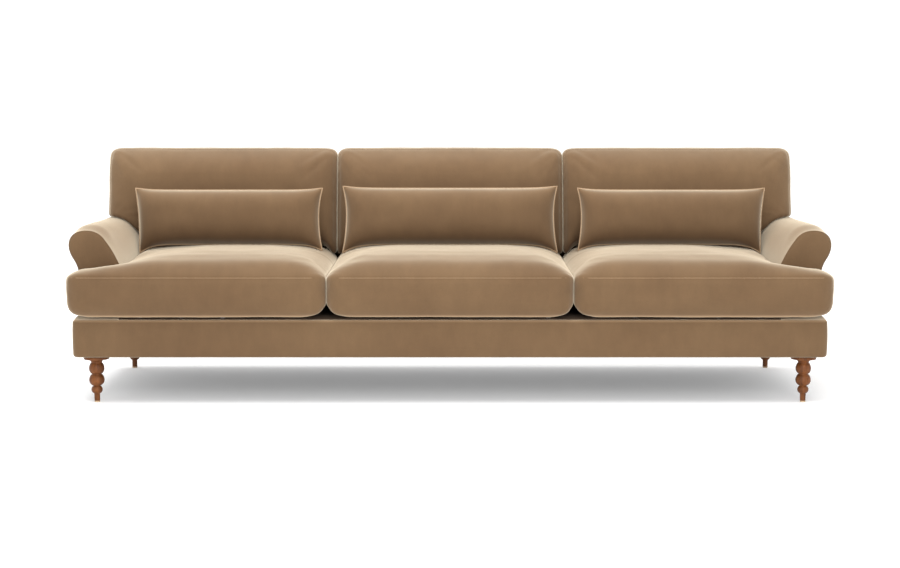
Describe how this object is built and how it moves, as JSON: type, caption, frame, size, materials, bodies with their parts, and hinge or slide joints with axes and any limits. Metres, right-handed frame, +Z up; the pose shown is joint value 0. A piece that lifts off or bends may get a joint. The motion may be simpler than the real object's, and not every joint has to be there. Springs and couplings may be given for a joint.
{
  "type": "three-seat sofa",
  "caption": "Long upholstered sofa with rolled arms, loose crowned seat and back cushions, lumbar pillows and turned wooden legs.",
  "frame": {"origin": "on the floor, under the middle of the overall width and depth", "axes": "+X along the sofa to the sitter's left, +Y to the back, +Z up; the front faces -Y"},
  "size_m": [2.692, 1.01, 0.8729],
  "materials": {
    "velvet": "tan velvet",
    "filling": "foam and fibre",
    "pad": "tan velvet over padding",
    "deck_cloth": "plain deck cloth",
    "black_cloth": "spunbond cloth",
    "webbing": "woven elastic",
    "frame_wood": "planed hardwood",
    "plywood": "sawn plywood",
    "leg_wood": "turned hardwood, stained red brown and polished",
    "steel": "bright zinc plate",
    "spring_steel": "drawn spring wire",
    "glide": "moulded nylon"
  },
  "bodies": {
    "frame": {"front_seat_rail": "frame_wood", "rear_seat_rail": "frame_wood", "left_side_rail": "frame_wood", "right_side_rail": "frame_wood", "seat_stretchers": "frame_wood", "corner_blocks": "frame_wood", "block_screws": "steel", "back_posts": "frame_wood", "back_top_rail": "frame_wood", "back_tack_rails": "frame_wood", "left_arm_front_board": "plywood", "right_arm_front_board": "plywood", "left_arm_post": "frame_wood", "right_arm_post": "frame_wood", "left_arm_rails": "frame_wood", "right_arm_rails": "frame_wood", "left_seat_springs": "spring_steel", "centre_seat_springs": "spring_steel", "right_seat_springs": "spring_steel", "spring_clips": "steel", "back_webbing": "webbing", "seat_deck": "deck_cloth", "dust_cover": "black_cloth", "base_cover": "pad", "inside_back_pad": "pad", "outside_back_panel": "pad", "back_side_panels": "pad", "left_arm_cover": "pad", "right_arm_cover": "pad", "left_arm_front_panel": "pad", "right_arm_front_panel": "pad", "left_arm_welt": "pad", "right_arm_welt": "pad", "front_left_leg": "leg_wood", "front_right_leg": "leg_wood", "rear_left_leg": "leg_wood", "rear_right_leg": "leg_wood", "leg_glides": "glide", "hanger_bolts": "steel", "leg_tee_nuts": "steel"},
    "left_seat": {"left_seat_cover": "velvet", "left_seat_filling": "filling"},
    "left_back": {"left_back_cover": "velvet", "left_back_filling": "filling"},
    "left_lumbar": {"left_lumbar_cover": "velvet", "left_lumbar_filling": "filling"},
    "centre_seat": {"centre_seat_cover": "velvet", "centre_seat_filling": "filling"},
    "centre_back": {"centre_back_cover": "velvet", "centre_back_filling": "filling"},
    "centre_lumbar": {"centre_lumbar_cover": "velvet", "centre_lumbar_filling": "filling"},
    "right_seat": {"right_seat_cover": "velvet", "right_seat_filling": "filling"},
    "right_back": {"right_back_cover": "velvet", "right_back_filling": "filling"},
    "right_lumbar": {"right_lumbar_cover": "velvet", "right_lumbar_filling": "filling"}
  },
  "joints": [
    {"name": "left_seat_out", "type": "slide", "parent": "frame", "child": "left_seat", "axis": [0, -1, 0], "range_m": [0, 0.8]},
    {"name": "centre_seat_out", "type": "slide", "parent": "frame", "child": "centre_seat", "axis": [0, -1, 0], "range_m": [0, 0.8]},
    {"name": "right_seat_out", "type": "slide", "parent": "frame", "child": "right_seat", "axis": [0, -1, 0], "range_m": [0, 0.8]},
    {"name": "left_back_lift", "type": "slide", "parent": "frame", "child": "left_back", "axis": [0, 0.2079, 0.9781], "range_m": [0, 0.45]},
    {"name": "centre_back_lift", "type": "slide", "parent": "frame", "child": "centre_back", "axis": [0, 0.2079, 0.9781], "range_m": [0, 0.45]},
    {"name": "right_back_lift", "type": "slide", "parent": "frame", "child": "right_back", "axis": [0, 0.2079, 0.9781], "range_m": [0, 0.45]},
    {"name": "left_lumbar_lift", "type": "slide", "parent": "frame", "child": "left_lumbar", "axis": [0, -0.7071, 0.7071], "range_m": [0, 0.45]},
    {"name": "centre_lumbar_lift", "type": "slide", "parent": "frame", "child": "centre_lumbar", "axis": [0, -0.7071, 0.7071], "range_m": [0, 0.45]},
    {"name": "right_lumbar_lift", "type": "slide", "parent": "frame", "child": "right_lumbar", "axis": [0, -0.7071, 0.7071], "range_m": [0, 0.45]}
  ]
}
